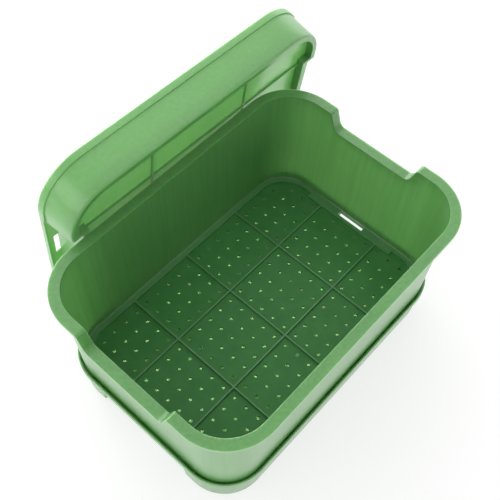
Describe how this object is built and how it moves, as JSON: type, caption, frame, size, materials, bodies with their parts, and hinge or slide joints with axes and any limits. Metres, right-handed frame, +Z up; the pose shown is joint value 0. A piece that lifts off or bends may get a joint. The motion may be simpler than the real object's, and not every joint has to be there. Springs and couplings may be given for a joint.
{
  "type": "sandbox with cover",
  "caption": "Oblong moulded play box: a deep bin with a perforated, ribbed floor and hand notches, nested in a shallow drip tray, with a matching lid leaning behind it.",
  "frame": {"origin": "on the ground, in the middle of the footprint of all three pieces; the tray's own centre is at x = -0.0279, y = -0.0404", "axes": "+X along the box, +Y across it towards the lid that leans behind, +Z up"},
  "size_m": [0.5138, 0.4008, 0.2992],
  "materials": {
    "tray": "semi-gloss injection-moulded polypropylene, slightly translucent",
    "bin": "semi-gloss injection-moulded polypropylene, slightly translucent",
    "lid": "semi-gloss injection-moulded polypropylene, slightly translucent"
  },
  "bodies": {
    "tray": {"tray": "tray"},
    "bin": {"bin": "bin"},
    "lid": {"lid": "lid"}
  },
  "joints": [
    {"name": "bin_lift", "type": "slide", "parent": "tray", "child": "bin", "axis": [0, 0, 1], "range_m": [0, 0.2]},
    {"name": "lid_lift", "type": "slide", "parent": "bin", "child": "lid", "axis": [0, 0, 1], "range_m": [0, 0.3]}
  ]
}
